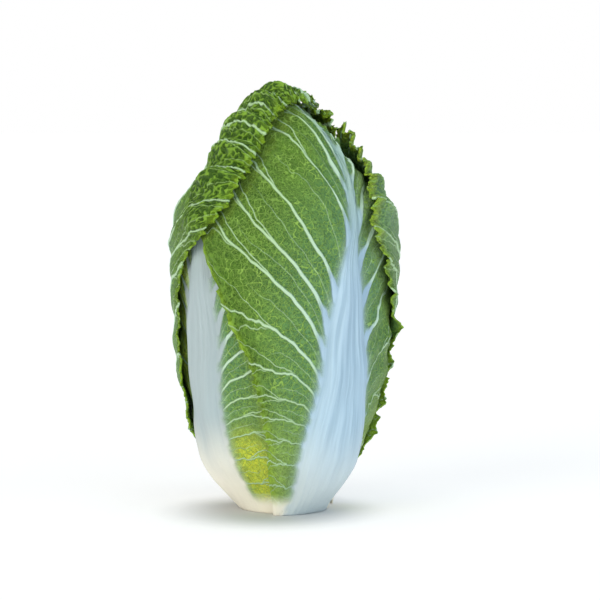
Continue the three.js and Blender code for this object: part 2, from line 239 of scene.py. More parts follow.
# places on the head, as in the part: turn in degrees, climb and reach in mm
head = {
    "crownStart": 195.0,
    "crownRadius": 82.0,
    "shape": [(0, 30), (10, 42), (25, 54), (45, 64), (75, 72), (110, 77), (150, 80), (195, 80),
              (222, 80), (250, 84), (280, 92), (300, 98)],
    "heart": [(0, 20), (5, 22.5), (12, 27), (20, 32), (32, 41), (50, 50.5), (80, 60), (115, 65),
              (150, 67), (195, 65), (222, 59), (250, 57), (280, 61), (300, 73)],
    "heartTop": 95,
    "shapeTop": 100,
    "folds": 4,
    "foldDepth": 2.4,
    "foldTwist": 1.3,
    "foldRises": 0.86,  # share of each fold, and what is left
    "foldFalls": 0.14,
    "foldsFull": 60,  # climb where the folds are full, and where they start to go out
    "foldsFade": 300,
    "stemTop": 14,
    "heartRows": 20,
    "heartColumns": 36,
    "heartOpen": 2,  # mm left out at the pole
    "heartRowPower": 1.15,
}
crownStart = head["crownStart"]
crownRadius = head["crownRadius"]
crownTop = crownStart + crownRadius * math.pi / 2


def smooth(low, high, x):
    t = np.clip((x - low) / (high - low), 0, 1)
    return t * t * (3 - 2 * t)


def between(x, rises, risen, falls, fallen):
    return smooth(rises, risen, x) * smooth(fallen, falls, x)


def curveThrough(pairs):
    xs, ys = np.array(pairs, dtype=float).T
    last = len(xs) - 1
    before = np.maximum(np.arange(last + 1) - 1, 0)
    after = np.minimum(np.arange(last + 1) + 1, last)
    slopes = (ys[after] - ys[before]) / (xs[after] - xs[before])

    def curve(x):
        held = np.clip(x, xs[0], xs[-1])
        k = np.clip(np.searchsorted(xs, held, side="left") - 1, 0, last - 1)
        width = xs[k + 1] - xs[k]
        t = (held - xs[k]) / width
        up = t * t * (3 - 2 * t)
        ease = width * t * (1 - t)
        return ys[k] * (1 - up) + ys[k + 1] * up + ease * ((1 - t) * slopes[k] - t * slopes[k + 1])

    return curve


def blendTable(knots, wanted):
    # row r gives the share of each knot's value in the smooth curve at wanted[r]
    alone = np.eye(len(knots))
    return np.stack([curveThrough(list(zip(knots, one)))(wanted) for one in alone], axis=1)


headReach = curveThrough(head["shape"] + [(crownTop, head["shapeTop"])])
heartReach = curveThrough(head["heart"] + [(crownTop, head["heartTop"])])


def pointAt(turn, climb, reach):
    lift = np.maximum(0, climb - crownStart) / crownRadius
    out = reach * np.cos(lift)
    z = np.minimum(climb, crownStart) + reach * np.sin(lift)
    angle = np.radians(turn)
    return np.stack(np.broadcast_arrays(np.sin(angle) * out, -np.cos(angle) * out, z), axis=-1)


def placeOf(point):
    x, y, z = point[..., 0], point[..., 1], point[..., 2]
    turn = np.degrees(np.arctan2(x, -y))
    over = crownStart + crownRadius * np.arctan2(z - crownStart, np.hypot(x, y))
    climb = np.where(z <= crownStart, z, over)
    reach = np.sqrt(x * x + y * y + np.maximum(0, z - crownStart) ** 2)
    return turn, climb, reach


# the head's surface as it grows, a table of reaches
table = {
    "turnCells": 200,
    "climbCells": 160,
    "drapeSteps": 60,
    "fitGap": 0.45,  # mm between a leaf and what it is draped over
    "clearance": 0.35,  # the least that every facet keeps
    "leastCellWidth": 0.05,
    "layProbes": 8,  # steps along a facet's side
    "liftProbes": 6,
}
turnCells, climbCells = table["turnCells"], table["climbCells"]
cellTurn = 360 / turnCells
cellClimb = crownTop / climbCells
rowClimb = (np.arange(climbCells) + 0.5) * cellClimb
rowLift = np.maximum(0, rowClimb - crownStart) / crownRadius
cellWidth = math.radians(cellTurn) * headReach(rowClimb) * np.cos(rowLift)
cellsAround = np.floor(cellClimb / np.maximum(cellWidth, table["leastCellWidth"]) + 0.5)
cellsAround = np.clip(cellsAround, 1, turnCells // 4).astype(int)
everyColumn = np.arange(turnCells)
columnsBefore = (everyColumn[None, :] - cellsAround[:, None]) % turnCells
columnsAfter = (everyColumn[None, :] + cellsAround[:, None]) % turnCells
everyRow = np.arange(climbCells)[:, None]


def rowsShifted(cells, step):
    return cells[np.clip(np.arange(climbCells) + step, 0, climbCells - 1)]


def spreadOut(cells):
    tall = np.maximum(np.maximum(rowsShifted(cells, -1), rowsShifted(cells, 1)), cells)
    wide = tall.copy()
    for shift in range(1, cellsAround.max() + 1):
        rows = cellsAround >= shift
        wide[rows] = np.maximum(wide[rows], np.roll(tall[rows], shift, axis=1))
        wide[rows] = np.maximum(wide[rows], np.roll(tall[rows], -shift, axis=1))
    return wide


def blurred(cells):
    across = (cells[everyRow, columnsBefore] + 2 * cells + cells[everyRow, columnsAfter]) / 4
    return (rowsShifted(across, -1) + 2 * across + rowsShifted(across, 1)) / 4


def drapedOver(cells):
    least = cells + table["fitGap"]
    skin = least
    for step in range(table["drapeSteps"]):
        skin = np.maximum(least, blurred(skin))
    return skin


def sampled(cells, turn, climb):
    across = (turn + 720) / cellTurn - 0.5
    up = climb / cellClimb - 0.5
    column, row = np.floor(across).astype(int), np.floor(up).astype(int)
    a, b = across - column, up - row
    low, high = np.clip(row, 0, climbCells - 1), np.clip(row + 1, 0, climbCells - 1)
    here, beside = column % turnCells, (column + 1) % turnCells
    below = cells[low, here] * (1 - a) + cells[low, beside] * a
    above = cells[high, here] * (1 - a) + cells[high, beside] * a
    return below * (1 - b) + above * b


def facetProbes(points, steps):
    # points inside every facet of a grid, and the grid indices of each facet's corners
    rows, columns = points.shape[:2]
    index = np.arange(rows * columns).reshape(rows, columns)
    a, b = index[:-1, :-1].ravel(), index[:-1, 1:].ravel()
    c, d = index[1:, 1:].ravel(), index[1:, :-1].ravel()
    facets = np.concatenate([np.stack([a, b, c], 1), np.stack([a, c, d], 1)])
    shares = [(m / steps, n / steps) for m in range(steps + 1) for n in range(steps + 1 - m)]
    shares = np.array([(u, v, 1 - u - v) for u, v in shares])
    corners = points.reshape(-1, 3)[facets]
    return np.einsum("su,fux->fsx", shares, corners), facets


def cellOf(turn, climb):
    column = np.floor((turn + 720) / cellTurn).astype(int) % turnCells
    row = np.clip(np.floor(climb / cellClimb).astype(int), 0, climbCells - 1)
    return row, column


def raisedBy(points, cells):
    probes, _ = facetProbes(points, table["layProbes"])
    turn, climb, reach = placeOf(probes)
    raised = np.zeros_like(cells)
    np.maximum.at(raised, cellOf(turn, climb), reach)
    return np.maximum(cells, spreadOut(raised))


# leaves, with the part's sizes
build = {
    "thickness": 1.1,
    "ribHalfWidth": [(0, 20), (14, 23), (34, 26.5), (80, 21), (130, 16), (180, 9), (230, 4.5), (300, 2.5)],
    "ribHeight": [(0, 1.5), (12, 5.5), (35, 8), (80, 6.5), (130, 5), (180, 3.6), (230, 2.4), (300, 1.4)],
    "ribShare": 0.32,  # of the columns
    "ribLimit": 0.8,  # of a side's width
    "ribRound": 3,
    "columnPower": 1.25,  # columns draw closer towards the edge
    "veinHeight": 2.4,
    "veinStart": 26,
    "veinBow": 0.1,
    "veinFade": (0, 0.25),  # places on the blade run from 0 at the rib to 1 at the edge
    "veinFlatter": 0.6,
    "frillHeight": 4.6,
    "frillFade": (0.55, 1),
    "frillReach": 3.2,
    "troughShare": 0.15,
    "looseClimb": (110, 175),  # below it frills lie closer, by frillLow
    "footClimb": (8, 55),  # nothing stands off below it
    "puffStart": 165,
    "puffSoft": 25,
    "puffTrough": 0.35,
    "puffFade": (0.4, 0.78),
    "puffFall": (0.86, 1),
    "toothStart": (10, 40),
    "pulledFrom": 0.75,
    "pulledMost": 0.3,
    "coverFade": (0.45, 0.05),
    "tipShare": 0.965,
    "outer": (31, 2, 6),  # rows, columns on half a rib, columns on a side's blade
    "inner": (14, 1, 3),
    "liftRounds": 4,
}
ribHalfWidth = curveThrough(build["ribHalfWidth"])
ribHeight = curveThrough(build["ribHeight"])

outerLeaves = [{
    "name": "outer_leaf_left",
    "turn": -52,
    "length": 318,
    "left": [(0, 0, -122), (20, 24, -116), (50, 62, -106), (80, 104, -101), (110, 150, -104),
             (140, 188, -112), (175, 222, -122), (215, 255, -134), (255, 284, -142), (290, 306, -130)],
    "right": [(0, 0, -2), (20, 24, -2), (50, 62, -2), (80, 100, 3), (110, 145, 6),
              (140, 185, 10), (175, 218, 18), (215, 250, 26), (255, 280, 34), (290, 304, 20)],
    "lean": [(0, -22), (30, -15), (70, -6), (110, 0), (318, 0)],
    "rightVeins": [6, 20, 34, 47, 58, 70, 84, 97, 112, 130, 151, 174, 200, 228, 258, 290],
    "yellowPatch": (33, 15, 24),  # climb, mm from the rib, size
    "yellowBand": 0.65,  # along the left of the rib
}, {
    "name": "outer_leaf_front",
    "turn": 36,
    "length": 322,
    "left": [(0, 0, -12), (20, 24, -13), (50, 62, -13), (80, 107, -20), (98, 147, -33),
             (110, 186, -44), (122, 222, -53), (144, 254, -60), (178, 277, -64), (215, 291, -67),
             (255, 300, -64), (290, 308, -48)],
    "right": [(0, 0, 116), (20, 26, 112), (50, 66, 106), (80, 108, 98), (110, 148, 91),
              (140, 182, 90), (175, 214, 95), (215, 250, 101), (255, 280, 96), (290, 304, 86)],
    "lean": [(0, 0), (170, 0), (205, 5), (230, 12), (255, 20), (280, 22), (300, 18), (322, 10)],
    "frill": (0.3, 1.1),
    "leftVeins": [6, 19, 33, 46, 58, 69, 81, 94, 110, 124, 146, 197, 236, 262, 284, 304],
    "rightVeins": [8, 34, 62, 90, 118, 148, 178, 208, 238, 268, 298],
}, {
    "name": "outer_leaf_back",
    "turn": 180,
    "length": 338,
    "left": [(0, 0, 147), (20, 22, 145), (50, 60, 142), (80, 102, 136), (110, 148, 126),
             (140, 188, 118), (175, 222, 112), (215, 255, 105), (255, 284, 95), (300, 308, 82)],
    "right": [(0, 0, 221), (20, 22, 221), (50, 60, 222), (80, 102, 224), (110, 148, 232),
              (140, 188, 240), (175, 222, 248), (215, 255, 254), (255, 284, 258), (300, 308, 262)],
    "frill": (1.7, 0.8),
    "puff": (1.6, 0.6),
    "edgePaintedShade": 0.1,
    "edgeYellow": 0.3,
}, {
    "name": "outer_leaf_right",
    "turn": 122,
    "length": 282,
    "left": [(0, 0, 110), (20, 22, 102), (50, 60, 98), (80, 100, 97), (98, 126, 88), (106, 140, 72),
             (118, 158, 61), (136, 182, 56), (156, 202, 47), (180, 228, 52), (205, 250, 64),
             (230, 268, 80), (256, 282, 98)],
    "right": [(0, 0, 174), (20, 22, 170), (50, 60, 166), (80, 102, 166), (110, 148, 172),
              (140, 188, 180), (175, 222, 186), (215, 250, 182), (250, 270, 160)],
    "lean": [(0, 22), (30, 15), (70, 6), (110, 0), (282, 0)],
    "frill": (1.3, 1),
    "frillLow": 1,
    "puff": (0.7, 0.3),
    "edgePaintedShade": 0.0,
    "edgeYellow": 0.5,
}, {
    "name": "outer_leaf_wrapping",
    "turn": -112,
    "length": 350,
    "left": [(0, 0, -172), (20, 24, -166), (50, 62, -160), (80, 102, -159), (110, 150, -166),
             (140, 190, -174), (175, 224, -182), (215, 256, -190), (255, 284, -198), (300, 308, -206)],
    "right": [(0, 0, -119), (20, 22, -108), (50, 56, -84), (80, 94, -72), (110, 136, -65),
              (136, 172, -60), (150, 186, -49), (162, 200, -36), (178, 220, -26), (194, 236, -22),
              (214, 254, -18), (236, 274, -12), (260, 291, 0), (284, 301, 25), (312, 302, 58)],
    "lean": [(0, -24), (30, -16), (70, -6), (110, 0), (350, 0)],
    "frill": (1, 0.9),
    "frillLow": 0.2,
    "puff": (0.4, 2.1),
    "puffEnd": 298,
}]
innerLeaf = {
    "count": 5,
    "turnStep": 137.5,
    "firstTurn": -140,
    "base": 16,
    "length": 308,
    "shorter": 7,
    "margin": [(0, 0, 36), (40, 50, 44), (90, 120, 58), (140, 182, 68), (190, 228, 72),
               (240, 268, 70), (280, 292, 56)],
    "ribScale": 0.62,
}


def sharesOf(ribColumns, bladeColumns):
    ribShare = build["ribShare"]
    half = [ribShare * k / ribColumns for k in range(1, ribColumns + 1)]
    for k in range(1, bladeColumns + 1):
        t = k / bladeColumns
        half.append(ribShare + (1 - ribShare) * (1 - (1 - t) ** build["columnPower"]))
    return np.array([-share for share in reversed(half)] + [0] + half)


def innerLeafAt(number):
    turn = innerLeaf["firstTurn"] + innerLeaf["turnStep"] * number
    length = innerLeaf["length"] - innerLeaf["shorter"] * number
    scale = length / innerLeaf["length"]
    margin = {}
    for side, way in (("left", -1), ("right", 1)):
        margin[side] = [(start * scale, innerLeaf["base"] + climb * scale, turn + way * swing)
                        for start, climb, swing in innerLeaf["margin"]]
    return {
        "name": f"inner_leaf_{number + 1}",
        "turn": turn,
        "base": innerLeaf["base"],
        "length": length,
        "left": margin["left"],
        "right": margin["right"],
        "ribScale": innerLeaf["ribScale"],
        "inner": True,
    }


def marginOf(leaf, rows):
    tipTurn = float(leaf["ribTurn"](leaf["length"]))
    ends = rows + [(leaf["length"], leaf["base"] + leaf["length"], tipTurn)]
    _, climbs, turns = np.array(ends, dtype=float).T
    points = pointAt(turns, climbs, crownRadius)
    curves = [curveThrough([(e[0], p[axis]) for e, p in zip(ends, points)]) for axis in range(3)]
    return lambda start: np.stack([curve(start) for curve in curves], axis=-1)


def angleBetween(a, b):
    a = a / np.linalg.norm(a, axis=-1, keepdims=True)
    b = b / np.linalg.norm(b, axis=-1, keepdims=True)
    return np.arccos(np.clip((a * b).sum(-1), -1, 1))


def outward(point):
    x, y, z = point[..., 0], point[..., 1], point[..., 2]
    return np.stack([x, y, np.maximum(0, z - crownStart)], axis=-1)


def layoutOf(leaf, start, shares, drawnIn):
    # start runs over rows and shares over columns; drawnIn is how far the edge is pulled in, in mm
    base = leaf["base"]
    rib = pointAt(leaf["ribTurn"](start), base + start, crownRadius)
    side = (shares >= 0).astype(int)
    ends = [leaf["leftMargin"](start), leaf["rightMargin"](start)]
    angles = np.stack([angleBetween(outward(rib), outward(end)) for end in ends])
    sizes = np.maximum(angles, 0.02) * headReach(np.minimum(base + start, crownTop))
    ribParts = np.minimum(ribHalfWidth(base + start) * leaf["ribScale"] / sizes, build["ribLimit"])
    angle, size, ribPart = angles[side].T, sizes[side].T, ribParts[side].T
    end = np.stack(ends)[side].transpose(1, 0, 2)
    edgeOnly = smooth(build["pulledFrom"], 1, np.abs(shares))[None, :]
    pulled = edgeOnly * np.minimum(drawnIn / size, build["pulledMost"])
    share = shares[None, :] * (1 - pulled)
    part = np.abs(share)
    onRib = np.minimum(part / build["ribShare"], 1)
    beyond = np.maximum(0, (part - build["ribShare"]) / (1 - build["ribShare"]))
    across = onRib * ribPart + beyond * (1 - ribPart)
    near, far = np.sin((1 - across) * angle), np.sin(across * angle)
    mix = (far / np.maximum(near + far, 1e-6))[..., None]
    point = rib[:, None, :] * (1 - mix) + end * mix
    veinStart = build["veinStart"]
    lowRow = smooth(veinStart * 0.5, veinStart * 2, start)[:, None]
    point[..., 2] += lowRow * build["veinBow"] * size * 4 * across * (1 - across)
    turn, climb, _ = placeOf(point)
    climb = np.where((base + start)[:, None] < 1e-6, 0.0, climb)
    return SimpleNamespace(
        turn=turn,
        climb=climb,
        onRib=onRib,  # 0 at the rib's middle, 1 at its side
        beyond=beyond,  # 0 at the rib's side, 1 at the leaf's edge
        size=size,
        side=side,
        ribPart=ribPart,
        rowClimb=np.broadcast_to((base + start)[:, None], turn.shape),
    )


def toothOf(leaf, index):
    return 0.75 + 0.25 * np.sin(index * 2.3 + leaf["turn"])


def perSide(pair, grid):
    return np.array(pair)[grid.side][None, :]


def exposedAt(leaf, grid):
    # 1 where no later leaf lies over this one
    return smooth(*build["coverFade"], sampled(leaf["cover"], grid.turn, grid.climb))


def looseness(leaf, climb):
    return leaf["frillLow"] + (1 - leaf["frillLow"]) * smooth(*build["looseClimb"], climb)


def ribRise(leaf, grid):
    rounded = np.maximum(0, 1 - grid.onRib ** build["ribRound"])
    return ribHeight(grid.rowClimb) * leaf["ribScale"] * rounded


def standOff(leaf, grid, index, exposed):
    climb, beyond = grid.rowClimb, grid.beyond
    crest = (index % 2)[:, None]
    veinStart, soft = build["veinStart"], build["puffSoft"]
    bladePart = smooth(*build["veinFade"], beyond) * smooth(veinStart, veinStart * 2, climb)
    vein = crest * build["veinHeight"] * bladePart * (1 - build["veinFlatter"] * beyond)
    wave = looseness(leaf, climb) * perSide(leaf["frill"], grid) * toothOf(leaf, index)[:, None]
    wave = wave * np.where(crest, 1, build["troughShare"])
    swell = perSide(leaf["puff"], grid)
    swell = swell * smooth(build["puffStart"] - soft, build["puffStart"] + soft, climb)
    swell = swell * smooth(leaf["puffEnd"] + soft, leaf["puffEnd"] - soft, climb)
    puff = swell * np.where(crest, 1, build["puffTrough"])
    edge = smooth(*build["frillFade"], beyond) * (1 - 0.3 * swell)
    lobe = smooth(*build["puffFade"], beyond) * (1 - 0.65 * smooth(*build["puffFall"], beyond))
    frilled = exposed * build["frillHeight"] * (edge * wave + lobe * puff)
    return smooth(*build["footClimb"], climb) * (vein + frilled)


def prepared(leaf):
    full = {
        "base": 0,
        "ribScale": 1,
        "frill": (0.8, 0.8),
        "puff": (0, 0),
        "puffEnd": 400,
        "frillLow": 0.4,
        "edgePaintedShade": 0.35,
        "edgeYellow": 0,
        "lean": [(0, 0), (leaf["length"], 0)],
        "yellowPatch": None,
        "yellowBand": 0,
        "leftVeins": None,
        "rightVeins": None,
        "inner": False,
        **leaf,
    }
    full["rows"], ribColumns, bladeColumns = build["inner" if full["inner"] else "outer"]
    full["shares"] = sharesOf(ribColumns, bladeColumns)
    lean = curveThrough(full["lean"])
    full["ribTurn"] = lambda start: full["turn"] + lean(start)
    full["leftMargin"] = marginOf(full, full["left"])
    full["rightMargin"] = marginOf(full, full["right"])
    index = np.arange(full["rows"])
    full["rowStep"] = build["tipShare"] * full["length"] / (full["rows"] - 1)
    start = index * full["rowStep"]
    tooth = smooth(*build["toothStart"], start) * build["frillReach"]
    tooth = tooth * np.where(index % 2, 0, toothOf(full, index))
    full["grid"] = layoutOf(full, start, full["shares"], tooth[:, None])
    return full


leaves = [innerLeafAt(number) for number in reversed(range(innerLeaf["count"]))] + outerLeaves
leaves = [prepared(leaf) for leaf in leaves]

topLeaf = np.full((climbCells, turnCells), -1.0)  # which leaf is outermost in each cell
for order, leaf in enumerate(leaves):
    places = pointAt(leaf["grid"].turn, leaf["grid"].climb, crownRadius)
    probes, _ = facetProbes(places, table["layProbes"])
    turn, climb, _ = placeOf(probes)
    topLeaf[cellOf(turn, climb)] = order


def heartSurface(turn, climb):
    lapped = turn / 360 * head["folds"] + climb / crownTop * head["foldTwist"]
    fold = lapped - np.floor(lapped)
    rises, falls = head["foldRises"], head["foldFalls"]
    lap = np.where(fold < rises, fold / rises, (1 - fold) / falls)
    fade = smooth(head["stemTop"], head["foldsFull"], climb) * smooth(crownTop, head["foldsFade"], climb)
    return heartReach(climb) + head["foldDepth"] * (lap - 1) * fade


rowShare = np.arange(head["heartRows"]) / (head["heartRows"] - 1)
heartClimb = (crownTop - head["heartOpen"]) * rowShare ** head["heartRowPower"]
heartTurn = 360 * np.arange(head["heartColumns"] + 1) / head["heartColumns"]
heartPoints = pointAt(heartTurn[None, :], heartClimb[:, None],
                      heartSurface(heartTurn[None, :], heartClimb[:, None]))
surface = heartSurface((everyColumn[None, :] + 0.5) * cellTurn, rowClimb[:, None])
surface = raisedBy(heartPoints, surface)

for order, leaf in enumerate(leaves):
    grid = leaf["grid"]
    skin = drapedOver(surface)
    leaf["cover"] = blurred(blurred(blurred((topLeaf > order).astype(float))))
    standing = standOff(leaf, grid, np.arange(leaf["rows"]), exposedAt(leaf, grid))
    inside = sampled(skin, grid.turn, grid.climb) + standing
    for attempt in range(build["liftRounds"]):
        points = pointAt(grid.turn, grid.climb, inside)
        probes, facets = facetProbes(points, table["liftProbes"])
        turn, climb, reach = placeOf(probes)
        short = surface[cellOf(turn, climb)] + table["clearance"] - reach
        lift = np.zeros(inside.size)
        for corner in range(3):
            np.maximum.at(lift, facets[:, corner], short.max(axis=1))
        inside = inside + lift.reshape(inside.shape)
    leaf["inside"] = inside
    outside = inside + build["thickness"] + ribRise(leaf, grid)
    surface = raisedBy(pointAt(grid.turn, grid.climb, outside), surface)
print("cabbage: leaves laid round the heart")


# fine leaves
fine = {
    "outer": (341, 8, 47),
    "inner": (91, 5, 17),
    "seedStep": 0.37,  # the turn times this sets how each leaf wanders
    "edgeThickness": 0.55,
    "edgeThins": (0.7, 1),
    "weightSteps": 60,
    "toothShare": 0.45,
    "edgeNibble": 1.5,
    "nibbleLengths": (1.1, 0.45),
    "veinStarts": (8.0, 14, 9, 30),  # first vein, least gap, how much it varies, bare tip
    "veinBend": 11.0,  # how far a side vein climbs in leaving the rib
    "bendClimb": (20, 90),
    "veinLeave": 10.0,
    "veinRise": 14.0,
    "riseSpan": (70, 130, 200, 290),
    "veinGaps": (2.0, 80.0),  # least and most mm between neighbours
    "forkLate": 0.13,
    "forkUp": (0.46, 0.3, 1.05),  # share of the gap that it crosses, from where, to where
    "forkDown": (0.36, 0.5, 1.1),
    "ridgeWidth": (1.7, 0.9),  # beside the rib, and how much less at the edge
    "upRidge": (0.75, 1.0, (0.3, 0.42)),  # height share, width, where it fades in
    "downRidge": (0.6, 0.9, (0.5, 0.62)),
    "ridgeFade": 0.45,
    "bladeFrom": (0, 3),  # mm from the rib
    "bladeClimb": (14, 40),
    "veinRidge": 1.3,
    "netDepth": 2.0,
    "netCell": 4.3,
    "netBend": (3.0, 6),  # mm, and over what length
    "netLine": (0.1, 1.25),
    "netLow": 0.25,
    "ruffleClimb": (150, 185),
    "ruffleFade": (0.25, 0.6),
    "ruffleEdge": (0.6, 0.95),
    "ruffleEdgeShare": 0.55,
    "smallFrill": 2.4,
    "smallFrillLength": 9.5,
    "smallFrillFade": (0.72, 1),
    "tinyFrill": 0.8,
    "tinyFrillFade": (0.88, 1),
    "frillLeast": 0.6,
    "crownCalm": 0.75,
    "crownClimb": (262, 284),
    "lowCalm": 0.4,
    "lowClimb": (160, 120),
    "grooveDepth": 0.3,
    "grooves": 7,
    "grooveSide": (1.02, 0.8),
    "grooveSpan": (0, 20, 160, 260),
}


def drift(x, seed):
    # a smooth wandering value about 0, the same every time
    small = 0.6 * np.sin(2.31 * x + 1.7 * seed)
    return (np.sin(x + seed) + small + 0.4 * np.sin(4.73 * x + 3.1 * seed)) / 2


def cellEdges(point, size, seed):
    # distance in mm to the nearest edge between scattered cells, for points in mm
    spot = point / size
    whole = np.floor(spot)
    nearest = np.full(spot.shape[:-1], 9.0)
    second = np.full(spot.shape[:-1], 9.0)
    for step in np.ndindex(3, 3, 3):
        cell = whole + np.array(step) - 1
        key = cell @ np.array((12.9898, 78.233, 37.719)) + seed
        jitter = np.stack([np.sin(key * f) * 43758.5453 for f in (1.0, 1.7, 2.3)], axis=-1)
        centre = cell + (jitter - np.floor(jitter)) * 0.8 + 0.1
        away = np.linalg.norm(spot - centre, axis=-1)
        second = np.minimum(second, np.maximum(nearest, away))
        nearest = np.minimum(nearest, away)
    return (second - nearest) * size / 2


def lineDistance(phase, spacing):
    return np.abs(phase + 0.5 - np.floor(phase + 0.5) - 0.5) * spacing


def veinStarts(leaf, side, seed):
    # where the side veins leave the rib, in mm from the base
    given = leaf["rightVeins"] if side else leaf["leftVeins"]
    if given is not None:
        return np.array(given, dtype=float)
    first, gap, varies, bareTip = fine["veinStarts"]
    starts = [first]
    while starts[-1] < leaf["length"] - bareTip:
        starts.append(starts[-1] + gap + varies * abs(math.sin(1.9 * len(starts) + seed + side)))
    return np.array(starts)


def steepness(values, points):
    # how much the values change in 1 mm over the surface
    along, up = np.gradient(points, axis=1), np.gradient(points, axis=0)
    valueAlong, valueUp = np.gradient(values, axis=1), np.gradient(values, axis=0)
    aa, ab, bb = (along * along).sum(-1), (along * up).sum(-1), (up * up).sum(-1)
    area = np.maximum(aa * bb - ab * ab, 1e-6)
    change = (bb * valueAlong ** 2 - 2 * ab * valueAlong * valueUp + aa * valueUp ** 2) / area
    return np.sqrt(np.maximum(change, 1e-6))


def fineLayout(leaf, seed):
    rows, ribColumns, bladeColumns = fine["inner" if leaf["inner"] else "outer"]
    shares = sharesOf(ribColumns, bladeColumns)
    index = np.linspace(0, leaf["rows"] - 1, rows)
    start = index * leaf["rowStep"]
    tooth = fine["toothShare"] * build["frillReach"] * toothOf(leaf, index)
    tooth = tooth * (0.5 + 0.5 * np.cos(math.pi * index))
    long, short = fine["nibbleLengths"]
    nibble = fine["edgeNibble"] * (1 + drift(start / long, seed) + 0.6 * drift(start / short, seed + 2))
    drawn = smooth(*build["toothStart"], start) * (tooth + nibble)
    grid = layoutOf(leaf, start, shares, drawn[:, None])
    beyond, size, ribPart = grid.beyond, grid.size, grid.ribPart
    grid.index, grid.start, grid.shares = index[:, None], start[:, None], shares
    grid.sign = np.where(grid.side, 1, -1)[None, :]
    grid.fromRib = beyond * (1 - ribPart) * size - (1 - grid.onRib) * ribPart * size
    grid.fromEdge = (1 - beyond) * (1 - ribPart) * size
    grid.exposed = exposedAt(leaf, grid)
    return grid


def veinLines(leaf, grid, flat, seed):
    # a vein lies where its phase is a whole number, and spacing turns phase into mm
    climb, beyond, start = grid.rowClimb, grid.beyond, grid.start
    leaving = np.exp(-np.maximum(grid.fromRib, 0) / fine["veinLeave"])
    bend = fine["veinBend"] * smooth(*fine["bendClimb"], climb) * leaving
    wander = 0.09 * drift(climb / 17 + beyond * 5 * grid.sign, seed)
    wander = wander + 0.05 * drift(beyond * 17 + climb / 40, seed + 1)
    steep = between(start, *fine["riseSpan"])
    along = start + bend - fine["veinRise"] * steep * beyond
    phase, spacing = np.zeros_like(along), np.zeros_like(along)
    for side in (0, 1):
        veins = veinStarts(leaf, side, seed)
        veins = np.concatenate([[veins[0] - 30], veins, [veins[-1] + 30]])
        chosen = grid.side == side
        found = np.interp(along[:, chosen], veins, np.arange(-1, len(veins) - 1))
        phase[:, chosen] = found + (wander * smooth(*build["veinFade"], beyond))[:, chosen]
        spacing[:, chosen] = 1 / steepness(phase[:, chosen], flat[:, chosen])
    spacing = np.clip(spacing, *fine["veinGaps"])
    late = fine["forkLate"] * np.sin(2.7 * np.rint(phase) + seed)
    crossed, parts, ends = fine["forkUp"]
    forkUp = phase - crossed * smooth(parts + late, ends, beyond)
    crossed, parts, ends = fine["forkDown"]
    forkDown = phase + crossed * smooth(parts - late, ends, beyond)
    return phase, forkUp, forkDown, spacing


def veinRidges(grid, lines):
    phase, forkUp, forkDown, spacing = lines
    beyond = grid.beyond
    wide, narrower = fine["ridgeWidth"]
    ridge = np.exp(-(lineDistance(phase, spacing) / (wide - narrower * beyond)) ** 2)
    for fork, (share, width, fade) in ((forkUp, fine["upRidge"]), (forkDown, fine["downRidge"])):
        forked = share * smooth(*fade, beyond) * np.exp(-(lineDistance(fork, spacing) / width) ** 2)
        ridge = np.maximum(ridge, forked)
    onBlade = smooth(*fine["bladeFrom"], grid.fromRib) * smooth(*fine["bladeClimb"], grid.rowClimb)
    return ridge * onBlade * (1 - fine["ridgeFade"] * beyond), onBlade


def netting(leaf, grid, flat, seed):
    # distance to the lines of the puffed flap's net, and where that net shows
    beyond = grid.beyond
    puffed = np.minimum(perSide(leaf["puff"], grid), 1)
    flap = smooth(*fine["ruffleFade"], beyond) * puffed * smooth(*fine["ruffleClimb"], grid.rowClimb)
    atEdge = fine["ruffleEdgeShare"] * smooth(*fine["ruffleEdge"], beyond)
    bend, length = fine["netBend"]
    bent = np.stack([drift(flat[..., k] / length, seed + k) for k in (1, 2, 0)], axis=-1)
    return cellEdges(flat + bend * bent, fine["netCell"], seed), grid.exposed * np.clip(flap + atEdge, 0, 1)


def edgeWaves(leaf, grid, seed):
    # small waves that are added at the edge, and what the source's large ones give up
    climb, beyond, start, exposed = grid.rowClimb, grid.beyond, grid.start, grid.exposed
    frill, loose = perSide(leaf["frill"], grid), looseness(leaf, climb)
    turns = 2 * math.pi * start / fine["smallFrillLength"] + 2.2 * drift(start / 23, seed) + grid.sign
    small = fine["smallFrill"] * frill * smooth(*fine["smallFrillFade"], beyond) * (0.5 + 0.5 * np.sin(turns))
    tiny = fine["tinyFrill"] * frill * smooth(*fine["tinyFrillFade"], beyond)
    small = small + tiny * (0.5 + 0.5 * np.sin(turns * 2.3 + 1))
    waves = smooth(*build["footClimb"], climb) * exposed * np.maximum(loose, fine["frillLeast"]) * small
    crest = 0.5 - 0.5 * np.cos(math.pi * grid.index)
    crownCalm = fine["crownCalm"] * smooth(*fine["crownClimb"], climb)
    calm = np.maximum(crownCalm, fine["lowCalm"] * loose * smooth(*fine["lowClimb"], climb))
    edge = smooth(*build["frillFade"], beyond)
    return waves, exposed * calm * edge * crest * frill * build["frillHeight"]


def ribGrooves(grid, seed):
    climb, onRib = grid.rowClimb, grid.onRib
    groove = drift(onRib * grid.sign * fine["grooves"] + 0.3 * drift(climb / 60, seed), seed + 3)
    groove = fine["grooveDepth"] * groove * smooth(*fine["grooveSide"], onRib)
    return groove * between(climb, *fine["grooveSpan"])


